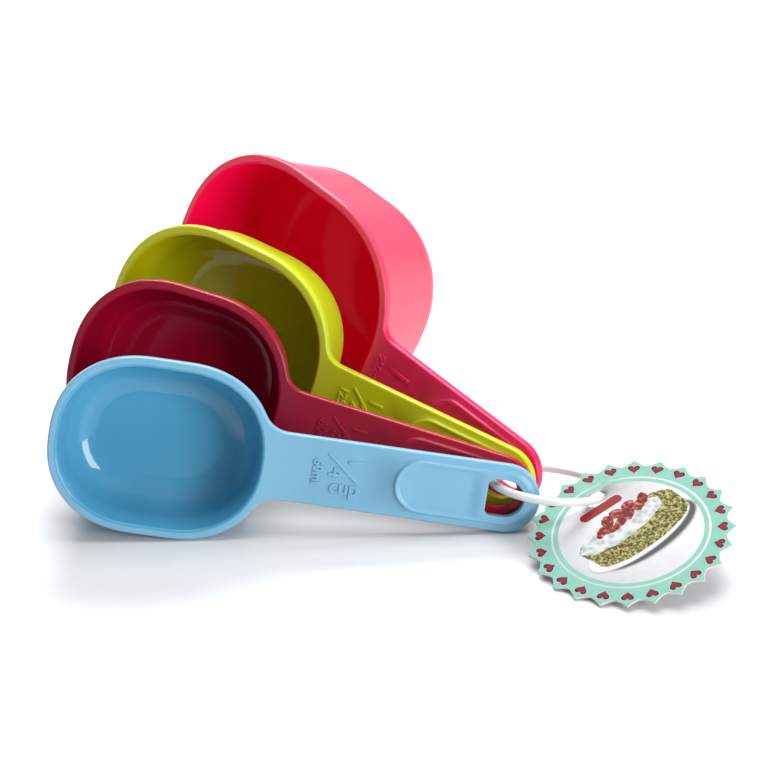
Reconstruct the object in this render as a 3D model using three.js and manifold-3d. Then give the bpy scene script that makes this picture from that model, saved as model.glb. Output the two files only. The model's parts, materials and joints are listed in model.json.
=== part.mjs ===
// Measuring cup set: four nesting cups on a plastic ring, with a round card swing tag.
// Millimetres, +Z up. The set stands fanned out on a table: every cup lies on its long side,
// resting on its lip, its base edge and the end of its handle, with its mouth towards -Y.

import * as THREE from 'three';
import { mergeVertices } from 'three/addons/utils/BufferGeometryUtils.js';
import Module from 'manifold-3d';

const wasm = await Module();
wasm.setup();

// ---------------------------------------------------------------- driving dimensions

const REACH = 120;               // bowl centre to hanging hole, the same on every cup
const WALL = 2.0;                // bowl wall and floor
const LIP_OVERHANG = 1.2;        // how far the lip stands out past the wall
const LIP_HEIGHT = 3.0;
const LIP_EDGE = 0.5;            // small bevel on the lip and the handle
const DRAFT = 10;                // degrees that the walls lean inwards
const OUTER_FLOOR_RADIUS = 11;   // rounding between wall and floor, outside
const INNER_FLOOR_RADIUS = 11;
const OUTLINE_POWER = 2.2;       // 2 would give elliptical corners
const SIDE_FLAT = 0.16;          // straight share of the long sides
const END_FLAT = 0.03;           // straight share of the short sides
const CORNER_STEPS = 11;
const FLOOR_STEPS = 4;

const HANDLE_THICKNESS = 3.4;
const HANDLE_END_RADIUS = 12.1;
const HANDLE_ROOT_HALF = 11.9;   // half width where it meets the bowl
const NECK_RUN = 8;              // length of the hollow curve into the lip
const NECK_FLARE = 6;            // how much wider the root is than the handle
const HOLE_RADIUS = 6.5;         // D-shaped hole: round towards the handle's end
const HOLE_CORNER = 2.0;
const PAD_RADIUS = 9.5;          // raised thumb pad around the hole
const PAD_START = -29.5;         // centre of the pad's inner round end
const PAD_RAISE = 0.5;

const RING_RADIUS = 20;          // centre line of the ring's strand
const STRAND_RADIUS = 1.45;
const RING_HEIGHT = 12.5;        // middle of the ring above the table
const RING_DROP_X = 0.10;        // the ring sinks by this share towards +X
const RING_DROP_Y = 0.20;        // and by this share towards +Y
const CATCH_RADIUS = 2.2;        // snap joint where the ring is closed
const CATCH_LENGTH = 8;
const CATCH_ANGLE = 8;           // degrees round the ring from +X

const TAG_TIP_RADIUS = 35.5;
const TAG_VALLEY_RADIUS = 32.6;
const TAG_TEETH = 24;
const TAG_THICKNESS = 0.8;
const TAG_TILT = 17;             // degrees off the table
const TAG_RISE_AZIMUTH = 53;     // direction in which it rises, degrees from +X
const TAG_CENTRE = [26.0, -30.6];
const TAG_HOLE_LONG = 4.7;       // half axes of the slanted punched hole
const TAG_HOLE_SHORT = 3.2;
const TAG_CLEARANCE = 0.05;      // its lowest edge above the table

// Each cup: outer size of the lip, depth, where its hole lies from the ring's centre, and how
// far its handle is turned back from the X axis.
const CUPS = [
  { name: 'cup_one', length: 102, width: 91, depth: 46.5, hole: [-13.2, 10.3], yaw: 38.6, colour: 0xee3f6e },
  { name: 'cup_half', length: 90, width: 77, depth: 31.5, hole: [-16.5, 3.8], yaw: 25.4, colour: 0xa8c020 },
  { name: 'cup_third', length: 80.5, width: 72, depth: 24.7, hole: [-17.6, -3.2], yaw: 12, colour: 0xa01030 },
  { name: 'cup_quarter', length: 76.5, width: 62, depth: 23.5, hole: [-15.6, -10.2], yaw: -2.6, colour: 0x7fbbdd },
];

// ---------------------------------------------------------------- solids

const radians = THREE.MathUtils.degToRad;

/** A manifold solid from any closed three.js geometry. */
function solid(geometry) {
  const bare = geometry.index ? geometry.clone() : geometry;
  bare.deleteAttribute('normal');
  bare.deleteAttribute('uv');
  const merged = mergeVertices(bare, 1e-4);
  const vertProperties = Float32Array.from(merged.attributes.position.array);
  const triVerts = Uint32Array.from(merged.index.array);
  return new wasm.Manifold(new wasm.Mesh({ numProp: 3, vertProperties, triVerts }));
}

/** A three.js geometry from a manifold solid. */
function toGeometry(body) {
  const mesh = body.getMesh();
  const geometry = new THREE.BufferGeometry();
  geometry.setAttribute('position', new THREE.BufferAttribute(Float32Array.from(mesh.vertProperties), 3));
  geometry.setIndex(new THREE.BufferAttribute(Uint32Array.from(mesh.triVerts), 1));
  geometry.computeVertexNormals();
  return geometry;
}

/** Closed solid through rings of points that run counter-clockwise, from the lowest ring up. */
function loft(rings) {
  const count = rings[0].length;
  const positions = rings.flat().flatMap((p) => [p.x, p.y, p.z]);
  const centre = (ring) => ring.reduce((sum, p) => sum.add(p), new THREE.Vector3()).divideScalar(count);
  const bottom = centre(rings[0]);
  const top = centre(rings[rings.length - 1]);
  positions.push(bottom.x, bottom.y, bottom.z, top.x, top.y, top.z);
  const bottomIndex = rings.length * count;
  const lastRing = (rings.length - 1) * count;
  const index = [];
  for (let i = 0; i < count; i += 1) {
    const next = (i + 1) % count;
    for (let k = 0; k < rings.length - 1; k += 1) {
      const low = k * count;
      const high = low + count;
      index.push(low + i, low + next, high + next, low + i, high + next, high + i);
    }
    index.push(bottomIndex, next, i);
    index.push(bottomIndex + 1, lastRing + i, lastRing + next);
  }
  const geometry = new THREE.BufferGeometry();
  geometry.setAttribute('position', new THREE.Float32BufferAttribute(positions, 3));
  geometry.setIndex(index);
  return geometry;
}

/** Rounded oblong of the cups, in the XY plane around the origin, counter-clockwise. */
function oblong(halfLength, halfWidth) {
  const points = [];
  for (let corner = 0; corner < 4; corner += 1) {
    const signX = corner === 0 || corner === 3 ? 1 : -1;
    const signY = corner < 2 ? 1 : -1;
    for (let step = 0; step <= CORNER_STEPS; step += 1) {
      const angle = (corner + step / CORNER_STEPS) * Math.PI / 2;
      const across = Math.abs(Math.cos(angle)) ** (2 / OUTLINE_POWER);
      const along = Math.abs(Math.sin(angle)) ** (2 / OUTLINE_POWER);
      const x = signX * halfLength * (SIDE_FLAT + (1 - SIDE_FLAT) * across);
      const y = signY * halfWidth * (END_FLAT + (1 - END_FLAT) * along);
      points.push(new THREE.Vector2(x, y));
    }
  }
  return points;
}

/** One ring of a bowl: the lip's outline drawn in by `inset`, at height z. */
function bowlRing(cup, inset, z) {
  const outline = oblong(cup.length / 2 - inset, cup.width / 2 - inset);
  return outline.map((p) => new THREE.Vector3(p.x - REACH, p.y, z));
}

/** Rings for the rounding between a wall and a floor, from the floor up. */
function floorRings(cup, wallInset, floorZ, radius) {
  const rings = [];
  for (let step = 0; step < FLOOR_STEPS; step += 1) {
    const angle = (step / FLOOR_STEPS) * Math.PI / 2;
    const inset = wallInset + radius * (1 - Math.sin(angle));
    rings.push(bowlRing(cup, inset, floorZ + radius * (1 - Math.cos(angle))));
  }
  return rings;
}

/** The outside of a bowl with its lip. */
function bowlBody(cup) {
  const slope = Math.tan(radians(DRAFT));
  const turn = -cup.depth + OUTER_FLOOR_RADIUS;
  const wallInset = (z) => LIP_OVERHANG + (-LIP_HEIGHT - z) * slope;
  return solid(loft([
    ...floorRings(cup, wallInset(turn), -cup.depth, OUTER_FLOOR_RADIUS),
    bowlRing(cup, wallInset(turn), turn),
    bowlRing(cup, wallInset(-LIP_HEIGHT), -LIP_HEIGHT),
    bowlRing(cup, LIP_EDGE, -LIP_HEIGHT),
    bowlRing(cup, 0, -LIP_HEIGHT + LIP_EDGE),
    bowlRing(cup, 0, -LIP_EDGE),
    bowlRing(cup, LIP_EDGE, 0),
  ]));
}

/** The space inside a bowl, carried on above the mouth so that it cuts cleanly. */
function bowlHollow(cup) {
  const slope = Math.tan(radians(DRAFT));
  const floor = -cup.depth + WALL;
  const turn = floor + INNER_FLOOR_RADIUS;
  const wallInset = (z) => LIP_OVERHANG + WALL - z * slope;
  return solid(loft([
    ...floorRings(cup, wallInset(turn), floor, INNER_FLOOR_RADIUS),
    bowlRing(cup, wallInset(turn), turn),
    bowlRing(cup, wallInset(0), 0),
    bowlRing(cup, wallInset(0), LIP_HEIGHT),
  ]));
}

/** Flat handle with a round end, flared where it runs into the lip. */
function handlePlate(cup) {
  const rimX = -REACH + cup.length / 2;
  const rootX = rimX - NECK_FLARE / 2;
  const neckX = rimX + NECK_RUN;
  const wide = HANDLE_ROOT_HALF + NECK_FLARE;
  const shape = new THREE.Shape();
  shape.moveTo(rootX, -wide);
  shape.quadraticCurveTo(rimX + 1, -HANDLE_ROOT_HALF, neckX, -HANDLE_ROOT_HALF);
  shape.lineTo(0, -HANDLE_END_RADIUS);
  shape.absarc(0, 0, HANDLE_END_RADIUS, -Math.PI / 2, Math.PI / 2, false);
  shape.lineTo(neckX, HANDLE_ROOT_HALF);
  shape.quadraticCurveTo(rimX + 1, HANDLE_ROOT_HALF, rootX, wide);
  shape.closePath();
  const plate = new THREE.ExtrudeGeometry(shape, {
    depth: HANDLE_THICKNESS - 2 * LIP_EDGE,
    bevelThickness: LIP_EDGE,
    bevelSize: LIP_EDGE,
    bevelOffset: -LIP_EDGE,
    bevelSegments: 1,
    curveSegments: 12,
  });
  plate.translate(0, 0, LIP_EDGE - HANDLE_THICKNESS);
  return solid(plate);
}

/** Raised pad that the thumb rests on. */
function thumbPad() {
  const shape = new THREE.Shape();
  shape.absarc(0, 0, PAD_RADIUS, -Math.PI / 2, Math.PI / 2, false);
  shape.absarc(PAD_START, 0, PAD_RADIUS, Math.PI / 2, Math.PI * 1.5, false);
  shape.closePath();
  const pad = new THREE.ExtrudeGeometry(shape, {
    depth: HANDLE_THICKNESS / 2,
    bevelThickness: PAD_RAISE,
    bevelSize: PAD_RAISE,
    bevelOffset: -PAD_RAISE,
    bevelSegments: 1,
    curveSegments: 10,
  });
  pad.translate(0, 0, -HANDLE_THICKNESS / 2);
  return solid(pad);
}

/** Cutter for the D-shaped hanging hole. */
function hangingHole() {
  const r = HOLE_RADIUS;
  const c = HOLE_CORNER;
  const shape = new THREE.Shape();
  shape.moveTo(0, -r);
  shape.absarc(0, 0, r, -Math.PI / 2, Math.PI / 2, false);
  shape.absarc(-r + c, r - c, c, Math.PI / 2, Math.PI, false);
  shape.absarc(-r + c, -r + c, c, Math.PI, Math.PI * 1.5, false);
  shape.closePath();
  const cutter = new THREE.ExtrudeGeometry(shape, {
    depth: 3 * HANDLE_THICKNESS,
    bevelEnabled: false,
    curveSegments: 6,
  });
  cutter.translate(0, 0, -2 * HANDLE_THICKNESS);
  return solid(cutter);
}

/** A cup in its own frame: hole at the origin, bowl towards -X, mouth facing +Z. */
function cupGeometry(cup) {
  const outside = bowlBody(cup).add(handlePlate(cup)).subtract(bowlHollow(cup));
  return toGeometry(outside.add(thumbPad()).subtract(hangingHole()));
}

// ---------------------------------------------------------------- standing on the table

/** Lean of the mouth that sets the lip and the base edge on the table together. */
function standingLean(cup) {
  const wallRun = cup.depth - OUTER_FLOOR_RADIUS / 2;
  return Math.atan(LIP_OVERHANG / wallRun + Math.tan(radians(DRAFT)));
}

/** Turn in the handle's plane that sets the lip and the handle's end on the table together. */
function standingPitch(cup) {
  const outline = oblong(cup.length / 2, cup.width / 2);
  let pitch = 0;
  for (let pass = 0; pass < 30; pass += 1) {
    const drop = (p) => -p.x * Math.sin(pitch) + p.y * Math.cos(pitch);
    const reachDown = Math.max(...outline.map(drop));
    pitch = Math.asin((reachDown - HANDLE_END_RADIUS) / REACH);
  }
  return pitch;
}

function standUp(mesh, cup) {
  mesh.rotation.z = -standingPitch(cup);
  const lean = new THREE.Group();
  lean.rotation.x = Math.PI / 2 - standingLean(cup);
  lean.add(mesh);
  const turned = new THREE.Group();
  turned.rotation.z = -radians(cup.yaw);
  turned.add(lean);
  const lowest = new THREE.Box3().setFromObject(turned, true).min.z;
  turned.position.set(cup.hole[0], cup.hole[1], -lowest);
  return turned;
}

// ---------------------------------------------------------------- ring and tag

/** The closed ring with its snap joint, flat in the XY plane around the origin. */
function ringGeometry() {
  const strand = solid(new THREE.TorusGeometry(RING_RADIUS, STRAND_RADIUS, 10, 44));
  const edge = CATCH_RADIUS - STRAND_RADIUS;
  const half = CATCH_LENGTH / 2;
  const barrel = new THREE.LatheGeometry([
    new THREE.Vector2(0, -half),
    new THREE.Vector2(CATCH_RADIUS - edge, -half),
    new THREE.Vector2(CATCH_RADIUS, -half + edge),
    new THREE.Vector2(CATCH_RADIUS, half - edge),
    new THREE.Vector2(CATCH_RADIUS - edge, half),
    new THREE.Vector2(0, half),
  ], 12);
  barrel.translate(RING_RADIUS, 0, 0);
  barrel.rotateZ(radians(CATCH_ANGLE));
  return toGeometry(strand.add(solid(barrel)));
}

/** Height of the ring's middle plane above the table, x and y measured from its centre. */
function ringPlane(x, y) {
  return RING_HEIGHT - RING_DROP_X * x - RING_DROP_Y * y;
}

function tiltRing(mesh) {
  const normal = new THREE.Vector3(RING_DROP_X, RING_DROP_Y, 1).normalize();
  mesh.quaternion.setFromUnitVectors(new THREE.Vector3(0, 0, 1), normal);
  mesh.position.z = RING_HEIGHT;
  return mesh;
}

/** Frame of the tag: its middle, and its plane rising towards the azimuth. */
function tagFrame() {
  const frame = new THREE.Group();
  const tilt = radians(TAG_TILT);
  const azimuth = radians(TAG_RISE_AZIMUTH);
  const rise = new THREE.Vector3(-Math.sin(azimuth), Math.cos(azimuth), 0);
  frame.quaternion.setFromAxisAngle(rise, -tilt);
  const halfThick = TAG_THICKNESS / 2 * Math.cos(tilt);
  const height = TAG_TIP_RADIUS * Math.sin(tilt) + halfThick + TAG_CLEARANCE;
  frame.position.set(TAG_CENTRE[0], TAG_CENTRE[1], height);
  frame.updateMatrixWorld();
  return frame;
}

/** Where the ring's strand goes through the tag, in the world and its direction there. */
function tagCrossing(frame) {
  const normal = new THREE.Vector3(0, 0, 1).applyQuaternion(frame.quaternion);
  let best = null;
  for (let degree = -90; degree < 0; degree += 0.25) {
    const x = RING_RADIUS * Math.cos(radians(degree));
    const y = RING_RADIUS * Math.sin(radians(degree));
    const point = new THREE.Vector3(x, y, ringPlane(x, y));
    const height = point.clone().sub(frame.position).dot(normal);
    if (best === null || Math.abs(height) < Math.abs(best.height)) {
      const direction = new THREE.Vector3(-y, x, RING_DROP_X * y - RING_DROP_Y * x).normalize();
      best = { point, height, direction, degree };
    }
  }
  return best;
}

/** Card disc with a toothed edge and the slanted hole for the strand. */
function tagGeometry(frame, crossing) {
  const shape = new THREE.Shape();
  const stepsPerTooth = 6;
  const steps = TAG_TEETH * stepsPerTooth;
  for (let i = 0; i < steps; i += 1) {
    const angle = (i / steps) * Math.PI * 2;
    const share = Math.abs(((i % stepsPerTooth) / stepsPerTooth) * 2 - 1);
    const bulge = 1 - (1 - share) ** 1.6;
    const radius = TAG_TIP_RADIUS - (TAG_TIP_RADIUS - TAG_VALLEY_RADIUS) * bulge;
    const point = new THREE.Vector2(radius * Math.cos(angle), radius * Math.sin(angle));
    if (i === 0) shape.moveTo(point.x, point.y);
    else shape.lineTo(point.x, point.y);
  }
  shape.closePath();
  const inverse = frame.quaternion.clone().invert();
  const at = crossing.point.clone().sub(frame.position).applyQuaternion(inverse);
  const along = crossing.direction.clone().applyQuaternion(inverse);
  const hole = new THREE.Path();
  hole.absellipse(at.x, at.y, TAG_HOLE_LONG, TAG_HOLE_SHORT, 0, Math.PI * 2, true, Math.atan2(along.y, along.x));
  shape.holes.push(hole);
  const card = new THREE.ExtrudeGeometry(shape, {
    depth: TAG_THICKNESS,
    bevelEnabled: false,
    curveSegments: 9,
  });
  card.translate(0, 0, -TAG_THICKNESS / 2);
  return toGeometry(solid(card));
}

// ---------------------------------------------------------------- the set

function plastic(colour) {
  return new THREE.MeshStandardMaterial({ color: colour, roughness: 0.3, metalness: 0 });
}

function named(geometry, material, name) {
  const mesh = new THREE.Mesh(geometry, material);
  mesh.name = name;
  return mesh;
}

const set = new THREE.Group();

for (const cup of CUPS) {
  set.add(standUp(named(cupGeometry(cup), plastic(cup.colour), cup.name), cup));
}

set.add(tiltRing(named(ringGeometry(), plastic(0xf2f2ee), 'binder_ring')));

const tag = tagFrame();
const card = new THREE.MeshStandardMaterial({ color: 0xa0dcc8, roughness: 0.6, metalness: 0 });
tag.add(named(tagGeometry(tag, tagCrossing(tag)), card, 'swing_tag'));
set.add(tag);

// The origin is the middle of the whole set's outer box, on the table.
const box = new THREE.Box3().setFromObject(set, true);
const middle = box.getCenter(new THREE.Vector3());
set.position.set(-middle.x, -middle.y, -box.min.z);

const group = new THREE.Group();
group.add(set);

export default group;
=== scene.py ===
import json
import math

import bmesh
import bpy
from mathutils import Matrix, Vector
from mathutils.geometry import delaunay_2d_cdt


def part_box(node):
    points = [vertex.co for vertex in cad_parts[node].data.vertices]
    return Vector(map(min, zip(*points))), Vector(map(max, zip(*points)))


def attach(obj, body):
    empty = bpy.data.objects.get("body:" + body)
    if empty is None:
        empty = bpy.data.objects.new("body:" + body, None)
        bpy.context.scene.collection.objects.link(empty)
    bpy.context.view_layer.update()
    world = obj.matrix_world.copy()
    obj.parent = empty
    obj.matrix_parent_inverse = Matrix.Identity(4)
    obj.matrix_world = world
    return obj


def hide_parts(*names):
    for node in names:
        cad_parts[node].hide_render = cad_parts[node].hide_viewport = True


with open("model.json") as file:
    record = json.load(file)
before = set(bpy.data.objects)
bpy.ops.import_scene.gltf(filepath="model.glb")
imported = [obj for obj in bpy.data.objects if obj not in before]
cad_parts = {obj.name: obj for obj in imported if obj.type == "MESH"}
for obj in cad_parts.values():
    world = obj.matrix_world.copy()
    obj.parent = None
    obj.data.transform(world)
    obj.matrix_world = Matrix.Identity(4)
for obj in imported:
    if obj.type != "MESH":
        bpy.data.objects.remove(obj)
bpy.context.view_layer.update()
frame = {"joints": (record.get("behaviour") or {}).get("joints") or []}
joints = {joint["name"]: joint for joint in frame["joints"]}

MM = 0.001

# ---------------------------------------------------------------- sizes, in millimetres

# A cup's own frame: the hanging hole's middle is the origin, the bowl's middle lies at -REACH on X,
# and the lip's flat top is at height 0.
REACH = 120.0
WALL = 2.0
LIP_OVERHANG = 1.2
DRAFT = math.radians(10)
OUTER_FLOOR_RADIUS = 11.0
INNER_FLOOR_RADIUS = 11.0
OUTLINE_POWER = 2.2
SIDE_FLAT = 0.16
END_FLAT = 0.03
CORNER_STEPS = 26
MOUTH_ROUND = 0.75
LIP_FILLET = 0.35
# The bowl's outer wall starts this far in from the lip's edge.
WALL_TOP = LIP_OVERHANG + 0.05
# A narrow flat strip between an edge's rounding and the filled face beside it.
FLAT_MARGIN = 0.06

HANDLE_THICKNESS = 3.4
HANDLE_END_RADIUS = 12.1
HANDLE_ROOT_HALF = 11.9
NECK_FLARE = 5.0
TOP_ROUND = 0.8
UNDER_ROUND = 0.6
PLAN_SPACING = 1.15

HOLE_RADIUS = 6.5
HOLE_CORNER = 2.0
HOLE_ROUND = 0.45
HOLE_CHAMFER = 0.3
HOLE_MARGIN = 0.05
HOLE_CLEARANCE = 0.17
HOLE_LEAST_STEP = 0.05

# The thumb pad: a narrow bead along its outline, a sunk and gently dished floor inside the bead, and
# a flat stretch around the hanging hole.
PAD_RADIUS = 9.5
PAD_START = -29.5
PAD_SPACING = 0.9
PAD_MIDDLE_SPACING = 1.2
PAD_MIDDLE_POINTS = 23
PAD_RAISE = 0.5
PAD_EXTRA = 0.6
PAD_STEP = 0.75
PAD_DISH = 0.45
BEAD_RISE = 0.55
BEAD_WIDTH = 1.1
BEAD_FALL = 0.9
DISH_START = 2.0
DISH_WIDTH = 5.5
SUNK_FROM = 7.5
SUNK_OVER = 5.0
EXTRA_FROM = 6.0
EXTRA_OVER = 16.0
# Distances in from the pad's outline where the mesh has lines of points, closest along the bead.
PAD_LINES = (0.0, 0.14, 0.28, 0.42, 0.56, 0.7, 0.95, 1.3, 1.6, 1.9, 2.2, 2.5, 3.1,
             4.0, 5.0, 6.0, 7.0, 8.0, 9.0)

# The lip's colour, painted lighter or darker than the handle's for how light falls on the rim, takes
# over from the handle's along the neck.
LIP_STARTS = -66.0
LIP_FADE = 14.0
# Each cup is shrunk by a hair, so that its rounder corners stay inside the CAD box.
FIT = 0.999

# Raised marks on the handles: sizes of the letters and where their middles are.
MARK_RAISE = 0.46
MARK_BEVEL = 0.1
MARK_SINK = 0.02
FRACTION_SIZE = 7.6
FRACTION_TOP = (-53.0, 4.9)
FRACTION_LOW = (-59.4, 0.7)
WHOLE_SIZE = 12.0
WHOLE_SPOT = (-56.5, 3.4)
CUP_WORD_SIZE = 7.2
CUP_WORD_SPOT = (-55.8, -4.4)
VOLUME_SIZE = 4.6
VOLUME_SPOT = (-65.9, 0.2)
SLASH_START = (-62.2, 6.9)
SLASH_END = (-51.6, -2.0)
SLASH_HALF_WIDTH = 0.42
SLASH_SINK = 0.2
ACROSS_HANDLE = -math.pi / 2

RING_RADIUS = 20.0
RING_STEPS = 160
STRAND_RADIUS = 1.45
STRAND_FLAT = 0.035
CATCH_RADIUS = 2.2
CATCH_LENGTH = 8.0
CATCH_SHOULDER = 0.8
CATCH_ANGLE = math.radians(8)
GROOVE_HALF = 0.35
GROOVE_FLOOR_HALF = 0.2
GROOVE_DEPTH = 0.3
TUBE_SIDES = 28

TAG_TIP = 35.5
TAG_VALLEY = 32.6
TAG_TEETH = 24
TOOTH_STEPS = 12
TOOTH_POWER = 1.6
TAG_THICKNESS = 0.8
TAG_EDGE = 0.07
TAG_TILT = math.radians(17)
TAG_AZIMUTH = math.radians(53)
TAG_OFFSET = (26.0, -30.6)
TAG_CLEARANCE = 0.05
TAG_HOLE_LONG = 4.7
TAG_HOLE_SHORT = 3.2
TAG_HOLE_STEPS = 48

# The print on the tag, from the middle outwards.
WHITE_DISC = 24.8
MINT_RING = 26.4
WHITE_LINE = 27.2
HEART_CIRCLE = 30.7
HEART_RIM_SIZE = 4.9
HEART_OUTLINE_SIZE = 4.4
HEART_SIZE = 3.2
PRINT_MARGIN = 0.12
INK = 0.012
CARD_WHITE = (0.535, 0.535, 0.54)
MINT = (0.185, 0.41, 0.33)
PALE = (0.36, 0.50, 0.44)
PLUM = (0.045, 0.004, 0.012)
CRIMSON = (0.19, 0.002, 0.018)
PLATE_WHITE = (0.57, 0.57, 0.57)
PLATE_GREY = (0.30, 0.31, 0.31)
RED = (0.23, 0.014, 0.014)

# Bowl length, width and depth; yaw about the ring in degrees; body, slot, and the marks on the
# handle: upper number, lower number, volume.
CUPS = {
    "cup_one": dict(size=(102, 91, 46.5), yaw=38.6, body="one", slot="pink_plastic",
                    marks=("1", "", "250ml")),
    "cup_half": dict(size=(90, 77, 31.5), yaw=25.4, body="half", slot="lime_plastic",
                     marks=("1", "2", "125ml")),
    "cup_third": dict(size=(80.5, 72, 24.7), yaw=12, body="third", slot="dark_red_plastic",
                      marks=("1", "3", "80ml")),
    "cup_quarter": dict(size=(76.5, 62, 23.5), yaw=-2.6, body="quarter", slot="light_blue_plastic",
                        marks=("1", "4", "60ml")),
}
# Colours of the bowl's inside, the handle, the lip and the bowl's outside: lit and shaded copies of the
# one plastic, so the differences between them are painted light and shade.
LIT_AND_SHADED_COLOURS = {
    "cup_one": ((0.95, 0.001, 0.085), (0.70, 0.012, 0.105),
                (0.84, 0.055, 0.115), (0.88, 0.065, 0.125)),
    "cup_half": ((0.45, 0.47, 0.002), (0.47, 0.53, 0.006),
                 (0.50, 0.60, 0.03), (0.50, 0.60, 0.012)),
    "cup_third": ((0.32, 0.0006, 0.020), (0.34, 0.0015, 0.019),
                  (0.30, 0.003, 0.022), (0.36, 0.004, 0.025)),
    "cup_quarter": ((0.08, 0.33, 0.52), (0.178, 0.40, 0.565),
                    (0.19, 0.43, 0.60), (0.15, 0.38, 0.56)),
}
# How much light each bowl's plastic lets in; the pink one lets in the most.
GLOW = {"cup_one": 0.5, "cup_half": 0.25, "cup_third": 0.2, "cup_quarter": 0.2}
# How strongly the inside of each bowl mirrors its surroundings.
SHINE = {"cup_one": 0.07, "cup_half": 0.4, "cup_third": 0.22, "cup_quarter": 0.5}

# ---------------------------------------------------------------- materials

FLOW_SCALE = 14
SMEAR_SCALE = 45
TOOL_TEXTURE_SCALE = 900
INK_MOTTLE_SCALE = 420
CARD_FIBRE_SCALE = 1500
PAPER_SCALE = 60
TOOL_TEXTURE_DEPTH = 0.0004
FIBRE_DEPTH = 0.0003
PRINT_SPECULAR = 0.08
PLASTIC_IOR = 1.45
# How far red, green and blue light travels inside the plastic, and the scale of that in metres.
LIGHT_REACH = (1.0, 0.6, 0.5)
LIGHT_REACH_SCALE = 0.004


def shader(name):
    material = bpy.data.materials.new(name)
    material.use_nodes = True
    nodes = material.node_tree.nodes
    nodes.clear()
    out = nodes.new("ShaderNodeOutputMaterial")
    bsdf = nodes.new("ShaderNodeBsdfPrincipled")
    material.node_tree.links.new(bsdf.outputs["BSDF"], out.inputs["Surface"])
    return material, nodes, material.node_tree.links, bsdf


def noise(nodes, links, scale, detail, coords):
    texture = nodes.new("ShaderNodeTexNoise")
    texture.inputs["Scale"].default_value = scale
    texture.inputs["Detail"].default_value = detail
    links.new(coords, texture.inputs["Vector"])
    return texture.outputs["Fac"]


def ramp(nodes, links, source, stops):
    """Turns a value into a colour; stops are (value, colour), from low to high."""
    node = nodes.new("ShaderNodeValToRGB")
    node.color_ramp.elements[0].position = stops[0][0]
    node.color_ramp.elements[0].color = (*stops[0][1], 1)
    node.color_ramp.elements[1].position = stops[-1][0]
    node.color_ramp.elements[1].color = (*stops[-1][1], 1)
    for place, colour in stops[1:-1]:
        node.color_ramp.elements.new(place).color = (*colour, 1)
    links.new(source, node.inputs["Fac"])
    return node.outputs["Color"]


def map_range(nodes, links, source, from_low, from_high, to_low, to_high):
    node = nodes.new("ShaderNodeMapRange")
    node.inputs["From Min"].default_value = from_low
    node.inputs["From Max"].default_value = from_high
    node.inputs["To Min"].default_value = to_low
    node.inputs["To Max"].default_value = to_high
    links.new(source, node.inputs["Value"])
    return node.outputs["Result"]


def spread(nodes, links, source, low, high):
    """Stretches the middle of a noise over the range from low to high."""
    return map_range(nodes, links, source, 0.3, 0.7, low, high)


def bump(nodes, links, height, strength, distance, bsdf):
    node = nodes.new("ShaderNodeBump")
    node.inputs["Strength"].default_value = strength
    node.inputs["Distance"].default_value = distance
    links.new(height, node.inputs["Height"])
    links.new(node.outputs["Normal"], bsdf.inputs["Normal"])


def plastic(name, colour, rough, glow=0.12, grain=0.012, lip=None, shine=0.5):
    """Moulded plastic: faint flow marks in colour and gloss, a fine tool texture, soft light let in.

    With `lip`, the colour goes over to that one where the mesh's "lip" attribute rises to 1; that
    second colour is painted light or shade on the lip of the same plastic."""
    material, nodes, links, bsdf = shader(name)
    coords = nodes.new("ShaderNodeTexCoord").outputs["Object"]
    flow = noise(nodes, links, FLOW_SCALE, 2, coords)

    def mottled(base):
        darker = tuple(c * 0.93 for c in base)
        lighter = tuple(min(1, c * 1.05 + 0.003) for c in base)
        return ramp(nodes, links, flow, [(0.3, darker), (0.7, lighter)])

    if lip is None:
        links.new(mottled(colour), bsdf.inputs["Base Color"])
    else:
        share = nodes.new("ShaderNodeAttribute")
        share.attribute_name = "lip"
        blend = nodes.new("ShaderNodeMix")
        blend.data_type = "RGBA"
        links.new(share.outputs["Fac"], blend.inputs[0])
        links.new(mottled(colour), blend.inputs[6])
        links.new(mottled(lip), blend.inputs[7])
        links.new(blend.outputs[2], bsdf.inputs["Base Color"])
    smear = noise(nodes, links, SMEAR_SCALE, 4, coords)
    links.new(spread(nodes, links, smear, rough * 0.93, rough * 1.07), bsdf.inputs["Roughness"])
    texture = noise(nodes, links, TOOL_TEXTURE_SCALE, 3, coords)
    bump(nodes, links, texture, grain, TOOL_TEXTURE_DEPTH, bsdf)
    bsdf.inputs["Subsurface Weight"].default_value = glow
    bsdf.inputs["Subsurface Radius"].default_value = LIGHT_REACH
    bsdf.inputs["Subsurface Scale"].default_value = LIGHT_REACH_SCALE
    bsdf.inputs["IOR"].default_value = PLASTIC_IOR
    bsdf.inputs["Specular IOR Level"].default_value = shine
    return material


def printed(name, colour, rough=0.5, variation=0.05, grain=0.03):
    """Ink on coated card: slight mottling and the card's fibres under a thin varnish."""
    material, nodes, links, bsdf = shader(name)
    coords = nodes.new("ShaderNodeTexCoord").outputs["Object"]
    mottle = noise(nodes, links, INK_MOTTLE_SCALE, 4, coords)
    low = tuple(c * (1 - variation) for c in colour)
    high = tuple(min(1, c * (1 + variation)) for c in colour)
    links.new(ramp(nodes, links, mottle, [(0.3, low), (0.7, high)]), bsdf.inputs["Base Color"])
    fibre = noise(nodes, links, CARD_FIBRE_SCALE, 5, coords)
    links.new(spread(nodes, links, fibre, rough * 0.9, rough * 1.15), bsdf.inputs["Roughness"])
    bump(nodes, links, fibre, grain, FIBRE_DEPTH, bsdf)
    bsdf.inputs["Specular IOR Level"].default_value = PRINT_SPECULAR
    return material


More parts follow.
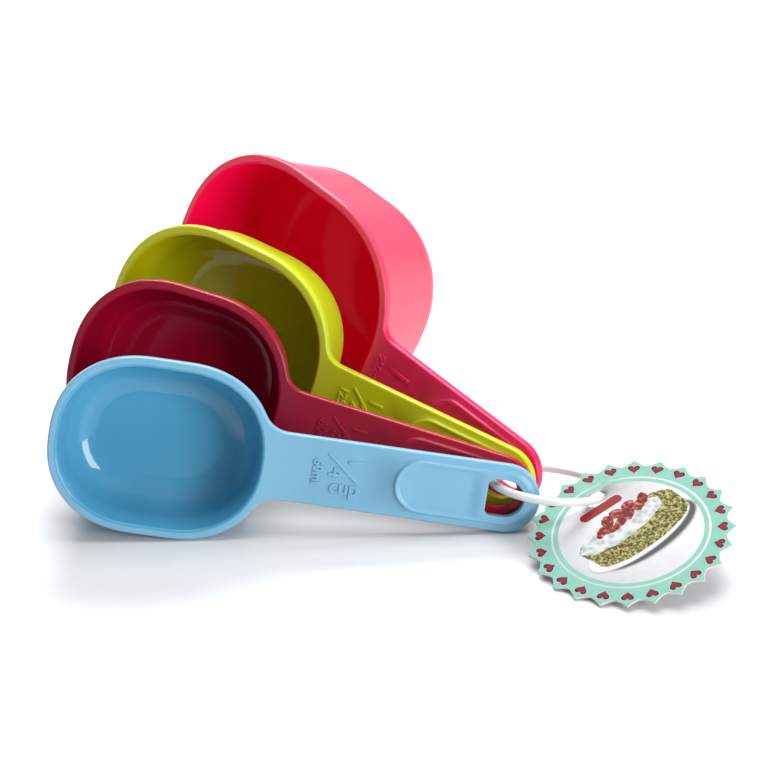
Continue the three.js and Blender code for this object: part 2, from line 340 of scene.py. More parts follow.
def speckled(name, stops, scale, rough=0.5):
    """Printed crumbs, cream or fruit: irregular cells of ink in several shades."""
    material, nodes, links, bsdf = shader(name)
    coords = nodes.new("ShaderNodeTexCoord").outputs["Object"]
    cells = nodes.new("ShaderNodeTexVoronoi")
    cells.inputs["Scale"].default_value = scale
    links.new(coords, cells.inputs["Vector"])
    cloud = noise(nodes, links, scale * 0.6, 4, coords)
    blend = nodes.new("ShaderNodeMix")
    blend.data_type = "FLOAT"
    blend.inputs[0].default_value = 0.55
    links.new(cells.outputs["Distance"], blend.inputs[2])
    links.new(cloud, blend.inputs[3])
    links.new(ramp(nodes, links, blend.outputs[0], stops), bsdf.inputs["Base Color"])
    bump(nodes, links, cloud, 0.04, FIBRE_DEPTH, bsdf)
    links.new(spread(nodes, links, cloud, rough * 0.9, rough * 1.1), bsdf.inputs["Roughness"])
    bsdf.inputs["Specular IOR Level"].default_value = PRINT_SPECULAR
    return material


# ---------------------------------------------------------------- outlines


def arc(middle, radius, start, turn, steps):
    """Points of an arc with both its ends; start and turn are in quarter turns."""
    points = []
    for k in range(steps + 1):
        a = math.pi / 2 * (start + turn * k / steps)
        points.append(Vector((middle[0] + radius * math.cos(a), middle[1] + radius * math.sin(a))))
    return points


def circle(radius, count=144):
    return arc((0, 0), radius, 0, 4, count)[:-1]


def quarter(steps):
    """Angles from 0 to a quarter turn."""
    return [math.pi / 2 * k / steps for k in range(steps + 1)]


def oblong_point(half_length, half_width, angle):
    """A point on a bowl's rounded oblong, which is centred on the bowl."""
    across = abs(math.cos(angle)) ** (2 / OUTLINE_POWER)
    along = abs(math.sin(angle)) ** (2 / OUTLINE_POWER)
    sign_x = 1 if math.cos(angle) >= 0 else -1
    sign_y = 1 if math.sin(angle) >= 0 else -1
    return Vector((
        sign_x * half_length * (SIDE_FLAT + (1 - SIDE_FLAT) * across) - REACH,
        sign_y * half_width * (END_FLAT + (1 - END_FLAT) * along)))


def oblong(half_length, half_width):
    """Rounded oblong of a bowl, counter-clockwise."""
    # The points keep half a step away from the axes, so the straight shares stay straight.
    angles = [math.pi / 2 * (k + 0.5) / CORNER_STEPS for k in range(4 * CORNER_STEPS)]
    return [oblong_point(half_length, half_width, angle) for angle in angles]


def resample(points, spacing):
    """The same closed outline with evenly spaced points."""
    lengths = [0.0]
    count = len(points)
    for i in range(count):
        lengths.append(lengths[-1] + (points[(i + 1) % count] - points[i]).length)
    total = lengths[-1]
    wanted = max(8, round(total / spacing))
    result = []
    k = 0
    for i in range(wanted):
        at = total * i / wanted
        while lengths[k + 1] < at:
            k += 1
        share = (at - lengths[k]) / (lengths[k + 1] - lengths[k])
        result.append(points[k % count].lerp(points[(k + 1) % count], share))
    return result


def inset(points, distance):
    """A closed counter-clockwise outline moved inwards."""
    count = len(points)
    result = []
    for i in range(count):
        along = points[(i + 1) % count] - points[i - 1]
        normal = Vector((-along.y, along.x)).normalized()
        result.append(points[i] + normal * distance)
    return result


def plan_outline(half_length, half_width):
    """Lip and handle in one outline: bowl, hollow neck curves, handle and its round end."""
    meet = HANDLE_ROOT_HALF + NECK_FLARE
    meet_step, tangent_step, bowl_step, neck_steps = 0.002, 0.01, 0.02, 26
    angle = 0.0
    while oblong_point(half_length, half_width, angle).y < meet:
        angle += meet_step
    # The neck curve leaves the bowl along its tangent and joins the handle's straight side.
    start = oblong_point(half_length, half_width, angle)
    slope = (start - oblong_point(half_length, half_width, angle + tangent_step)).normalized()
    reach = (start.y - HANDLE_ROOT_HALF) / -slope.y
    control = start + slope * reach
    end = Vector((control.x + reach, HANDLE_ROOT_HALF))
    neck = []
    for k in range(neck_steps + 1):
        t = k / neck_steps
        neck.append(start * (1 - t) ** 2 + control * 2 * t * (1 - t) + end * t * t)
    bowl = []
    a = angle + bowl_step
    while a < 2 * math.pi - angle:
        bowl.append(oblong_point(half_length, half_width, a))
        a += bowl_step
    other_neck = [Vector((p.x, -p.y)) for p in neck]
    handle_end = arc((0, 0), HANDLE_END_RADIUS, -1, 2, 40)
    return resample(handle_end + neck[::-1] + bowl + other_neck, PLAN_SPACING)


def stadium(radius, start, spacing):
    """An outline with a round end about the origin and another about `start` on X."""
    ends = arc((0, 0), radius, -1, 2, 48) + arc((start, 0), radius, 1, 2, 48)
    return resample(ends, spacing)


def hole_outline(grow=0.0):
    """The D-shaped hanging hole, counter-clockwise, made wider by `grow`."""
    r = HOLE_RADIUS + grow
    c = HOLE_CORNER + grow
    points = (arc((0, 0), r, -1, 2, 32) + arc((c - r, r - c), c, 1, 1, 12)
              + arc((c - r, c - r), c, 2, 1, 12))
    cleaned = [points[0]]
    for p in points[1:]:
        if (p - cleaned[-1]).length > HOLE_LEAST_STEP:
            cleaned.append(p)
    return cleaned


def inside(point, outline):
    hit = False
    for i in range(len(outline)):
        a, b = outline[i - 1], outline[i]
        if (a.y > point.y) != (b.y > point.y):
            if point.x < a.x + (point.y - a.y) / (b.y - a.y) * (b.x - a.x):
                hit = not hit
    return hit


def smooth(value):
    value = min(1.0, max(0.0, value))
    return value * value * (3 - 2 * value)


def pad_depth(point):
    """How far a point lies inside the pad's outline."""
    x = min(0.0, max(PAD_START, point.x))
    return PAD_RADIUS - math.hypot(point.x - x, point.y)


def top_height(point):
    """Height of the handle's top: 0 outside the thumb pad."""
    depth = pad_depth(point)
    if depth <= 0:
        return 0.0
    clear_of_hole = smooth((-point.x - SUNK_FROM) / SUNK_OVER)
    raised = PAD_RAISE + PAD_EXTRA * smooth((-point.x - EXTRA_FROM) / EXTRA_OVER)
    sunk = (PAD_STEP * smooth((depth - BEAD_WIDTH) / BEAD_FALL)
            + PAD_DISH * smooth((depth - DISH_START) / DISH_WIDTH))
    return raised * smooth(depth / BEAD_RISE) - sunk * clear_of_hole


# ---------------------------------------------------------------- mesh building


class Shell:
    """Collects rings and filled faces, then welds them into one mesh."""

    CAP_SHARES = (0.985, 0.7, 0.4, 0.12)

    def __init__(self):
        self.verts = []
        self.faces = []
        self.zones = []
        self.zone = 0

    def face(self, corners, flip):
        self.faces.append(tuple(reversed(corners)) if flip else tuple(corners))
        self.zones.append(self.zone)

    def ring(self, points):
        start = len(self.verts)
        self.verts += [tuple(p) for p in points]
        return list(range(start, len(self.verts)))

    def rings(self, loops, flip=False):
        """Joins each loop to the next; returns the last loop's vertices."""
        made = [self.ring(loop) for loop in loops]
        for low, high in zip(made, made[1:]):
            for i in range(len(low)):
                j = (i + 1) % len(low)
                self.face((low[i], low[j], high[j], high[i]), flip)
        return made[-1]

    def cap(self, points, flip=False):
        """Closes a flat loop with smaller copies of itself and a last small fan."""
        centre = sum((Vector(p) for p in points), Vector((0, 0, 0))) / len(points)
        loops = [points]
        for share in self.CAP_SHARES:
            loops.append([centre + (Vector(p) - centre) * share for p in points])
        last = self.rings(loops, flip)
        middle = self.ring([centre])[0]
        for i in range(len(last)):
            self.face((last[i], last[(i + 1) % len(last)], middle), flip)

    def fill(self, outer, holes, height, extra=(), up=True):
        """Fills the plan between outlines; each point's height comes from height(point)."""
        coords = list(outer)
        edges = [(i, (i + 1) % len(outer)) for i in range(len(outer))]
        for hole in holes:
            first = len(coords)
            coords += list(hole)
            edges += [(first + i, first + (i + 1) % len(hole)) for i in range(len(hole))]
        coords += list(extra)
        verts, _, faces, _, _, _ = delaunay_2d_cdt(coords, edges, [], 1, 1e-6)
        start = len(self.verts)
        self.verts += [(v.x, v.y, height(v)) for v in verts]
        for face in faces:
            middle = sum((verts[i] for i in face), Vector((0, 0))) / len(face)
            if not inside(middle, outer) or any(inside(middle, hole) for hole in holes):
                continue
            a, b, c = (verts[i] for i in face[:3])
            faces_up = (b - a).cross(c - a) > 0
            self.face([start + i for i in face], flip=faces_up != up)

    def build(self, name, materials, matrix, weld=0.004):
        mesh = bpy.data.meshes.new(name)
        mesh.from_pydata(self.verts, [], self.faces)
        # The lip attribute places the lip's painted light and shade colour.
        lip = mesh.attributes.new("lip", "FLOAT", "POINT")
        lip.data.foreach_set("value", [smooth((LIP_STARTS - v[0]) / LIP_FADE) for v in self.verts])
        for material in materials:
            mesh.materials.append(material)
        for polygon, zone in zip(mesh.polygons, self.zones):
            polygon.material_index = zone
        work = bmesh.new()
        work.from_mesh(mesh)
        bmesh.ops.remove_doubles(work, verts=work.verts, dist=weld)
        for face in work.faces:
            face.smooth = True
        work.to_mesh(mesh)
        work.free()
        mesh.transform(matrix)
        return in_scene(name, mesh)


def in_scene(name, data):
    obj = bpy.data.objects.new(name, data)
    bpy.context.scene.collection.objects.link(obj)
    return obj


def lift(points, z):
    return [Vector((p.x, p.y, z)) for p in points]


def round_loops(outline, mode, radius, z_edge, steps=5):
    """Loops of a quarter-round edge.

    "top" goes from the flat over the edge to the side, "under" from the side to the flat below."""
    loops = []
    for a in quarter(steps):
        if mode == "top":
            inwards, z = 1 - math.sin(a), z_edge - radius * (1 - math.cos(a))
        else:
            inwards, z = 1 - math.cos(a), z_edge + radius * (1 - math.sin(a))
        loops.append(lift(inset(outline, radius * inwards), z))
    return loops


# ---------------------------------------------------------------- the cups' surfaces

INSIDE, HANDLE, OUTSIDE = 0, 1, 2
UNDER = -HANDLE_THICKNESS
SLOPE = math.tan(DRAFT)


class Bowl:
    """Loops of a bowl's oblong, moved in from the lip's outline."""

    def __init__(self, length, width, depth):
        self.half_length = length / 2
        self.half_width = width / 2
        self.depth = depth
        self.plan = plan_outline(self.half_length, self.half_width)

    def loop(self, amount, z):
        return lift(oblong(self.half_length - amount, self.half_width - amount), z)

    def wall(self, amount_at_top, top, turn, steps):
        """A drafted wall from its top down to the height where the floor's rounding begins."""
        loops = []
        for k in range(1, steps):
            z = top + (turn - top) * k / steps
            loops.append(self.loop(amount_at_top + (top - z) * SLOPE, z))
        return loops

    def floor_edge(self, amount, turn, radius):
        loops = []
        for a in quarter(8):
            loops.append(self.loop(amount + radius * (1 - math.cos(a)), turn - radius * math.sin(a)))
        return loops


def bowl_inside(shell, bowl):
    """From the lip's flat top over the mouth's rounded edge, down the wall and across the floor."""
    shell.zone = INSIDE
    mouth = LIP_OVERHANG + WALL
    loops = [bowl.loop(mouth - MOUTH_ROUND - FLAT_MARGIN, 0)]
    for a in quarter(5):
        over = MOUTH_ROUND * math.sin(a)
        down = MOUTH_ROUND * (1 - math.cos(a))
        loops.append(bowl.loop(mouth - MOUTH_ROUND + over + down * SLOPE, -down))
    turn = WALL - bowl.depth + INNER_FLOOR_RADIUS
    loops += bowl.wall(mouth + MOUTH_ROUND * SLOPE, -MOUTH_ROUND, turn, 8)
    loops += bowl.floor_edge(mouth - turn * SLOPE, turn, INNER_FLOOR_RADIUS)
    shell.rings(loops)
    shell.cap(loops[-1])
    return [Vector((p.x, p.y)) for p in loops[0]]


def handle_top(shell, outline, mouth):
    """The flat top of lip and handle with the thumb pad, out to the rounded edge."""
    shell.zone = HANDLE
    near_hole = hole_outline(HOLE_ROUND + HOLE_CLEARANCE)
    extra = []
    for depth_in in PAD_LINES:
        for p in stadium(PAD_RADIUS - depth_in, PAD_START, PAD_SPACING):
            if not inside(p, near_hole):
                extra.append(p)
    extra += [Vector((PAD_START + PAD_MIDDLE_SPACING * k, 0.0)) for k in range(PAD_MIDDLE_POINTS)]
    edge = inset(outline, TOP_ROUND + FLAT_MARGIN)
    shell.fill(edge, [mouth, hole_outline(HOLE_ROUND + HOLE_MARGIN)], top_height, extra)
    shell.rings([lift(edge, 0), *round_loops(outline, "top", TOP_ROUND, 0)], flip=True)


def hole_wall(shell):
    """The hanging hole's wall: rounded at the top, with a small chamfer below."""
    edge = hole_outline(HOLE_ROUND)
    start = hole_outline(HOLE_ROUND + HOLE_MARGIN)
    loops = [[Vector((p.x, p.y, top_height(p))) for p in start]]
    for a in quarter(4):
        ring = hole_outline(HOLE_ROUND * (1 - math.sin(a)))
        down = HOLE_ROUND * (1 - math.cos(a))
        loops.append([Vector((p.x, p.y, top_height(q) - down)) for p, q in zip(ring, edge)])
    loops.append(lift(hole_outline(), UNDER + HOLE_CHAMFER))
    loops.append(lift(hole_outline(HOLE_CHAMFER), UNDER))
    loops.append(lift(hole_outline(HOLE_CHAMFER + FLAT_MARGIN), UNDER))
    shell.rings(loops)


def side_and_underside(shell, outline, bowl):
    """The handle's and lip's side and underside; returns the loop where the bowl's wall leaves it."""
    flat = inset(outline, UNDER_ROUND + FLAT_MARGIN)
    shell.rings([*round_loops(outline, "top", TOP_ROUND, 0)[-1:],
                 *round_loops(outline, "under", UNDER_ROUND, UNDER),
                 lift(flat, UNDER)], flip=True)
    wall_loop = bowl.loop(WALL_TOP - LIP_FILLET - FLAT_MARGIN, UNDER)
    holes = [[p.xy for p in wall_loop], hole_outline(HOLE_CHAMFER + FLAT_MARGIN)]
    shell.fill(flat, holes, lambda p: UNDER, up=False)
    return wall_loop


def bowl_outside(shell, wall_loop, bowl):
    """A small fillet under the lip, then the drafted wall and the flat floor."""
    shell.zone = OUTSIDE
    loops = [wall_loop]
    for a in quarter(3):
        over = LIP_FILLET * math.sin(a)
        loops.append(bowl.loop(WALL_TOP - LIP_FILLET + over, UNDER - LIP_FILLET * (1 - math.cos(a))))
    turn = OUTER_FLOOR_RADIUS - bowl.depth
    top = UNDER - LIP_FILLET
    loops += bowl.wall(WALL_TOP, top, turn, 7)
    loops += bowl.floor_edge(WALL_TOP + (top - turn) * SLOPE, turn, OUTER_FLOOR_RADIUS)
    shell.rings(loops, flip=True)
    shell.cap(loops[-1], flip=True)


def cup_shell(length, width, depth):
    shell = Shell()
    bowl = Bowl(length, width, depth)
    mouth = bowl_inside(shell, bowl)
    handle_top(shell, bowl.plan, mouth)
    hole_wall(shell)
    wall_loop = side_and_underside(shell, bowl.plan, bowl)
    bowl_outside(shell, wall_loop, bowl)
    return shell


# ---------------------------------------------------------------- how a cup stands


def standing_lean(depth):
    """A cup leans back until its lip's edge and its drafted wall both touch the table."""
    return math.atan(LIP_OVERHANG / (depth - OUTER_FLOOR_RADIUS / 2) + SLOPE)


def standing_pitch(length, width):
    """A cup's handle dips until the handle's end touches the table as well."""
    pitch = 0.0
    outline = [Vector((p.x + REACH, p.y)) for p in oblong(length / 2, width / 2)]
    for _ in range(30):
        low = max(-p.x * math.sin(pitch) + p.y * math.cos(pitch) for p in outline)
        pitch = math.asin((low - HANDLE_END_RADIUS) / REACH)
    return pitch


def cup_turn(cup):
    length, width, depth = cup["size"]
    return (Matrix.Rotation(-math.radians(cup["yaw"]), 4, "Z")
            @ Matrix.Rotation(math.pi / 2 - standing_lean(depth), 4, "X")
            @ Matrix.Rotation(-standing_pitch(length, width), 4, "Z"))


def placed(shell, node, turn):
    """The turn, moved so that the piece's box stands where its CAD node's box stands."""
    points = [turn @ Vector(v) for v in shell.verts]
    low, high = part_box(node)
    move = Vector([
        (low[k] + high[k]) / 2 / MM - (min(p[k] for p in points) + max(p[k] for p in points)) / 2
        for k in range(3)])
    move.z = low[2] / MM - min(p.z for p in points)
    base = Vector([(low[0] + high[0]) / 2, (low[1] + high[1]) / 2, low[2]]) / MM
    hair = Matrix.Translation(base) @ Matrix.Scale(FIT, 4) @ Matrix.Translation(-base)
    return Matrix.Scale(MM, 4) @ hair @ Matrix.Translation(move) @ turn


# ---------------------------------------------------------------- cups and their marks


def mark(text, size, spot, angle, matrix, material, name):
    """One raised word or number on a handle."""
    curve = bpy.data.curves.new(name, "FONT")
    curve.body = text
    curve.size = size
    curve.extrude = MARK_RAISE
    curve.bevel_depth = MARK_BEVEL
    curve.bevel_resolution = 1
    curve.align_x = "CENTER"
    curve.align_y = "CENTER"
    curve.resolution_u = 4
    writer = in_scene(name, curve)
    bpy.context.view_layer.update()
    evaluated = writer.evaluated_get(bpy.context.evaluated_depsgraph_get())
    mesh = bpy.data.meshes.new_from_object(evaluated)
    bpy.data.objects.remove(writer)
    mesh.transform(Matrix.Translation((*spot, -MARK_SINK)) @ Matrix.Rotation(angle, 4, "Z"))
    mesh.transform(matrix)
    mesh.materials.clear()
    mesh.materials.append(material)
    return in_scene(name, mesh)


def slash(matrix, material, name):
    """The raised stroke of a fraction."""
    shell = Shell()
    start, end = Vector(SLASH_START), Vector(SLASH_END)
    along = (end - start).normalized()
    facing = math.atan2(-along.x, along.y) / (math.pi / 2)
    outline = (arc(end, SLASH_HALF_WIDTH, facing, 2, 8)
               + arc(start, SLASH_HALF_WIDTH, facing + 2, 2, 8))
    top = lift(inset(outline, MARK_BEVEL), MARK_RAISE)
    shell.rings([lift(outline, -SLASH_SINK), lift(outline, MARK_RAISE - MARK_BEVEL), top])
    shell.cap(top)
    return shell.build(name, [material], matrix, weld=0.0001)


def cup_marks(node, marks, matrix, material):
    top, bottom, volume = marks

    def word(text, size, spot, angle, suffix):
        return mark(text, size, spot, angle, matrix, material, node + suffix)

    if bottom:
        words = [word(top, FRACTION_SIZE, FRACTION_TOP, ACROSS_HANDLE, "_mark_top"),
                 word(bottom, FRACTION_SIZE, FRACTION_LOW, ACROSS_HANDLE, "_mark_low"),
                 slash(matrix, material, node + "_mark_slash")]
    else:
        words = [word(top, WHOLE_SIZE, WHOLE_SPOT, ACROSS_HANDLE, "_mark_top")]
    words.append(word("cup", CUP_WORD_SIZE, CUP_WORD_SPOT, 0.0, "_mark_cup"))
    words.append(word(volume, VOLUME_SIZE, VOLUME_SPOT, ACROSS_HANDLE, "_mark_volume"))
    return words


def build_cup(node, cup):
    shell = cup_shell(*cup["size"])
    matrix = placed(shell, node, cup_turn(cup))
    # The four colours are painted lit and shaded copies of one plastic.
    inner_colour, handle_colour, lip_painted_light_colour, outer_colour = LIT_AND_SHADED_COLOURS[node]
    inner = plastic(node + "_inside", inner_colour, 0.06, GLOW[node], shine=SHINE[node])
    handle = plastic(node + "_handle", handle_colour, 0.32, grain=0.03, lip=lip_painted_light_colour)
    outer = plastic(node + "_outside", outer_colour, 0.36, GLOW[node], grain=0.03)
    piece = shell.build(node + "_fine", [inner, handle, outer], matrix)
    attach(piece, cup["body"])
    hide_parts(node)
    for word in cup_marks(node, cup["marks"], matrix, handle):
        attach(word, cup["body"])


# ---------------------------------------------------------------- the ring

ring_at = Vector(joints["ring_turn"]["pos_m"]) / MM
ring_axis = Vector(joints["ring_turn"]["axis"]).normalized()


def around_tube(radius_at):
    """Points round a tube's section; radius_at gives the radius in each direction."""
    angles = [2 * math.pi * k / TUBE_SIDES for k in range(TUBE_SIDES)]
    return [(radius_at(b) * math.cos(b), radius_at(b) * math.sin(b)) for b in angles]


def strand_radius(b):
    """A shallow moulding flat on the strand's inner side keeps it from being a plain torus."""
    return STRAND_RADIUS * (1 - STRAND_FLAT * max(0.0, math.cos(b + math.pi)) ** 3)


def strand(shell):
    section = around_tube(strand_radius)
    loops = []
    for i in range(RING_STEPS + 1):
        a = 2 * math.pi * i / RING_STEPS
        loops.append([Vector(((RING_RADIUS + out) * math.cos(a), (RING_RADIUS + out) * math.sin(a), up))
                      for out, up in section])
    shell.rings(loops, flip=True)


def catch(shell):
    """A barrel over the strand's two ends, with a parting groove and rounded shoulders."""
    half = CATCH_LENGTH / 2
    neck = CATCH_RADIUS - CATCH_SHOULDER
    shoulder = [(-half + CATCH_SHOULDER * (1 - math.cos(a)), neck + CATCH_SHOULDER * math.sin(a))
                for a in quarter(6)]
    groove = [(-GROOVE_HALF, CATCH_RADIUS), (-GROOVE_FLOOR_HALF, CATCH_RADIUS - GROOVE_DEPTH)]
    left = [(-half, 0.01), *shoulder, *groove]
    profile = left + [(-along, radius) for along, radius in reversed(left)]
    spin = Matrix.Rotation(CATCH_ANGLE, 4, "Z")
    loops = []
    for along, radius in profile:
        section = around_tube(lambda b: radius)
        loops.append([spin @ Vector((RING_RADIUS + out, along, up)) for out, up in section])
    shell.rings(loops, flip=True)


def build_ring():
    shell = Shell()
    strand(shell)
    catch(shell)
    upright = Vector((0, 0, 1)).rotation_difference(ring_axis).to_matrix().to_4x4()
    matrix = Matrix.Scale(MM, 4) @ Matrix.Translation(ring_at) @ upright
    white = plastic("ring_white", (0.64, 0.66, 0.67), 0.28, glow=0.35, grain=0.02)
    ring = shell.build("binder_ring_fine", [white], matrix, weld=0.0001)
    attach(ring, "ring")
    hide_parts("binder_ring")


# ---------------------------------------------------------------- the tag

HALF_CARD = TAG_THICKNESS / 2

tilt_axis = Vector((-math.sin(TAG_AZIMUTH), math.cos(TAG_AZIMUTH), 0))
tag_height = TAG_TIP * math.sin(TAG_TILT) + HALF_CARD * math.cos(TAG_TILT) + TAG_CLEARANCE
tag_turn = (Matrix.Translation((ring_at.x + TAG_OFFSET[0], ring_at.y + TAG_OFFSET[1], tag_height))
            @ Matrix.Rotation(-TAG_TILT, 4, tilt_axis))
tag_matrix = Matrix.Scale(MM, 4) @ tag_turn
# The punched hole lies where the strand crosses the tag, and its long way follows the strand.
crossing = tag_turn.inverted() @ (Vector(joints["tag_lift"]["pos_m"]) / MM)
strand_way = tag_turn.to_3x3().inverted() @ Vector(joints["tag_lift"]["axis"])
hole_angle = math.atan2(strand_way.y, strand_way.x)


def turned(x, y, middle, angle):
    """A point given in a shape's own directions, turned by angle and moved to the shape's middle."""
    return Vector((middle[0] + x * math.cos(angle) - y * math.sin(angle),
                   middle[1] + x * math.sin(angle) + y * math.cos(angle)))


def tag_outline():
    """Pointed teeth with round valleys between them, counter-clockwise."""
    points = []
    for i in range(TAG_TEETH * TOOTH_STEPS):
        share = abs((i % TOOTH_STEPS) / TOOTH_STEPS * 2 - 1)
        radius = TAG_TIP - (TAG_TIP - TAG_VALLEY) * (1 - (1 - share) ** TOOTH_POWER)
        a = 2 * math.pi * i / (TAG_TEETH * TOOTH_STEPS)
        points.append(Vector((radius * math.cos(a), radius * math.sin(a))))
    return points


def tag_hole():
    points = []
    for k in range(TAG_HOLE_STEPS):
        a = 2 * math.pi * k / TAG_HOLE_STEPS
        x, y = TAG_HOLE_LONG * math.cos(a), TAG_HOLE_SHORT * math.sin(a)
        points.append(turned(x, y, crossing, hole_angle))
    return points


def build_card():
    shell = Shell()
    outer = tag_outline()
    edge = inset(outer, TAG_EDGE)
    hole = tag_hole()
    shell.rings([lift(edge, HALF_CARD), lift(outer, HALF_CARD - TAG_EDGE),
                 lift(outer, TAG_EDGE - HALF_CARD), lift(edge, -HALF_CARD)], flip=True)
    shell.rings([lift(hole, HALF_CARD), lift(hole, -HALF_CARD)])
    shell.fill(edge, [hole], lambda p: -HALF_CARD, up=False)
    shell.fill(edge, [hole], lambda p: HALF_CARD)
    card = printed("card_white", CARD_WHITE, variation=0.03, grain=0.08)
    tag = shell.build("swing_tag_fine", [card], tag_matrix, weld=0.0001)
    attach(tag, "tag")
    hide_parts("swing_tag")


def ink_print(name, shapes, level, material):
    """Flat printed shapes, each an outline and its holes; higher levels lie on lower ones."""
    shell = Shell()
    for outline, holes in shapes:
        shell.fill(outline, holes, lambda p: HALF_CARD + INK * level)
    obj = shell.build(name, [material], tag_matrix, weld=0.0001)
    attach(obj, "tag")


def heart(size, middle, turn, count=40):
    points = []
    for k in range(count):
        t = -2 * math.pi * k / count
        x = 16 * math.sin(t) ** 3
        y = 13 * math.cos(t) - 5 * math.cos(2 * t) - 2 * math.cos(3 * t) - math.cos(4 * t)
        points.append(turned(x * size / 32, (y + 2.5) * size / 32, middle, turn))
    return points


def hearts(size):
    """One heart under each tooth, its point towards the tag's middle."""
    shapes = []
    for i in range(TAG_TEETH):
        a = 2 * math.pi * (i + 0.5) / TAG_TEETH
        middle = (HEART_CIRCLE * math.cos(a), HEART_CIRCLE * math.sin(a))
        shapes.append((heart(size, middle, a - math.pi / 2), []))
    return shapes


def build_border():
    mint = printed("ink_mint", MINT)
    bands = [(inset(tag_outline(), PRINT_MARGIN), [circle(WHITE_LINE)]),
             (circle(MINT_RING), [circle(WHITE_DISC)])]
    ink_print("tag_mint_print", bands, 1, mint)
    ink_print("tag_heart_rims", hearts(HEART_RIM_SIZE), 2, printed("ink_pale", PALE))
    ink_print("tag_heart_outlines", hearts(HEART_OUTLINE_SIZE), 3, printed("ink_plum", PLUM))
    ink_print("tag_hearts", hearts(HEART_SIZE), 4, printed("ink_crimson", CRIMSON))


# ---------------------------------------------------------------- the printed cake

# A cream cake with berries on a plate. The picture's own right and up directions are turned
# against the tag's. Ovals are given by their middle, half length and half height.
PRINT_TURN = math.radians(38)
PLATE = (0.3, -3.8, 22.1, 7.9)
PLATE_EDGE = (0.3, -4.0, 22.3, 8.1)
PLATE_SHADOW = (2.4, -5.6, 20.7, 8.1)
SHADOW_STEPS = ((1.2, 0.42), (0.7, 0.22), (0.2, 0.06))
CAKE_TOP = (2.0, 4.0, 21.0, 6.2)
CAKE_DEPTH = 8.0
CAKE_TAPER = 0.6
CREAM = (-0.6, 4.3, 18.2, 5.8)
# Berries: middle, half length, half height and turn.
BERRIES = (
    (-7.0, 6.9, 3.2, 1.6, 0.5), (-4.0, 5.6, 3.4, 1.6, -0.3), (-2.2, 9.2, 3.0, 2.2, 0.9),
    (1.0, 6.0, 3.3, 1.7, 0.4), (2.7, 9.8, 2.8, 2.3, -0.6), (5.6, 7.0, 3.4, 1.9, 0.7),
    (8.0, 9.9, 2.9, 2.1, 0.2), (10.8, 7.4, 3.1, 1.9, 0.6), (13.8, 8.8, 2.9, 1.8, 0.9),
)
# A plain bar stands where such a tag carries a word.
BAR_MIDDLE = (1.0, 16.0)
BAR_HALF = (6.9, 1.85)
BAR_TURN = math.radians(-4)

# The inks' speckles: shades from low to high, and how fine they are.
CRUMB_SHADES = [(0.28, (0.010, 0.010, 0.001)), (0.41, (0.055, 0.048, 0.004)),
                (0.50, (0.13, 0.115, 0.012)), (0.64, (0.38, 0.35, 0.14))]
CREAM_SHADES = [(0.27, (0.22, 0.235, 0.24)), (0.42, (0.36, 0.375, 0.38)),
                (0.60, (0.53, 0.54, 0.54))]
BERRY_SHADES = [(0.27, (0.022, 0.002, 0.001)), (0.44, (0.12, 0.006, 0.003)),
                (0.54, (0.24, 0.018, 0.010)), (0.68, (0.50, 0.20, 0.16))]
CRUMB_SCALE = 1100
CREAM_SCALE = 420
BERRY_SCALE = 620
SHADOW_SCALE = 300
# A printed shape's ragged edge has two waves; the second one is finer and weaker.
RAGGED_WAVES = 9
FINER_WAVES = 23
FINER_SHARE = 0.7


def on_print(u, v):
    return turned(u, v, (0, 0), PRINT_TURN)


def oval(u, v, wide, high, turn=0.0, count=72, start=0.0, end=2 * math.pi, wobble=0.0):
    """An oval or a stretch of one on the print, with a slightly ragged edge where it wobbles."""
    whole = end - start >= 2 * math.pi
    points = []
    for k in range(count):
        a = start + (end - start) * k / (count if whole else count - 1)
        grow = (1 + wobble * math.sin(a * RAGGED_WAVES + u)
                + wobble * FINER_SHARE * math.sin(a * FINER_WAVES + v))
        spot = turned(wide * grow * math.cos(a), high * grow * math.sin(a), (u, v), turn)
        points.append(on_print(*spot))
    return points


def cake_side():
    """The side's outline: along the back of the top, then along the front of the base."""
    u, v, wide, high = CAKE_TOP
    upper = oval(u, v, wide, high, start=0, end=math.pi, count=60, wobble=0.01)
    lower = oval(u, v - CAKE_DEPTH, wide - CAKE_TAPER, high, start=math.pi, end=2 * math.pi,
                 count=60, wobble=0.01)
    return upper + lower


def bar():
    half_length, radius = BAR_HALF
    ends = arc((half_length, 0), radius, -1, 2, 14) + arc((-half_length, 0), radius, 1, 2, 14)
    return [on_print(*turned(p.x, p.y, BAR_MIDDLE, BAR_TURN)) for p in ends]


def build_picture():
    plate = printed("ink_plate", PLATE_WHITE)
    plate_edge = printed("ink_plate_edge", PLATE_GREY)
    crumb = speckled("ink_crumb", CRUMB_SHADES, CRUMB_SCALE)
    cream = speckled("ink_cream", CREAM_SHADES, CREAM_SCALE)
    berry = speckled("ink_berry", BERRY_SHADES, BERRY_SCALE)
    red = printed("ink_red", RED)
    # The plate's shadow fades outwards in three steps of grey.
    u, v, wide, high = PLATE_SHADOW
    for step, (grow, grey) in enumerate(SHADOW_STEPS, 1):
        shades = [(0.2, (grey * 0.9,) * 3), (0.8, (grey * 1.1,) * 3)]
        shadow = speckled("ink_shadow_" + str(step), shades, SHADOW_SCALE)
        shape = oval(u, v, wide + grow, high + grow)
        ink_print("print_shadow_" + str(step), [(shape, [])], step, shadow)
    ink_print("print_plate_edge", [(oval(*PLATE_EDGE), [])], 4, plate_edge)
    ink_print("print_plate", [(oval(*PLATE), [])], 5, plate)
    ink_print("print_cake_side", [(cake_side(), [])], 6, crumb)
    ink_print("print_cream", [(oval(*CREAM, wobble=0.022), [])], 7, cream)
    for number, place in enumerate(BERRIES):
        shape = oval(*place, count=28, wobble=0.04)
        ink_print("print_berry_" + str(number + 1), [(shape, [])], 8 + number % 3, berry)
    ink_print("print_plain_bar", [(bar(), [])], 2, red)


# ---------------------------------------------------------------- stage, light and camera

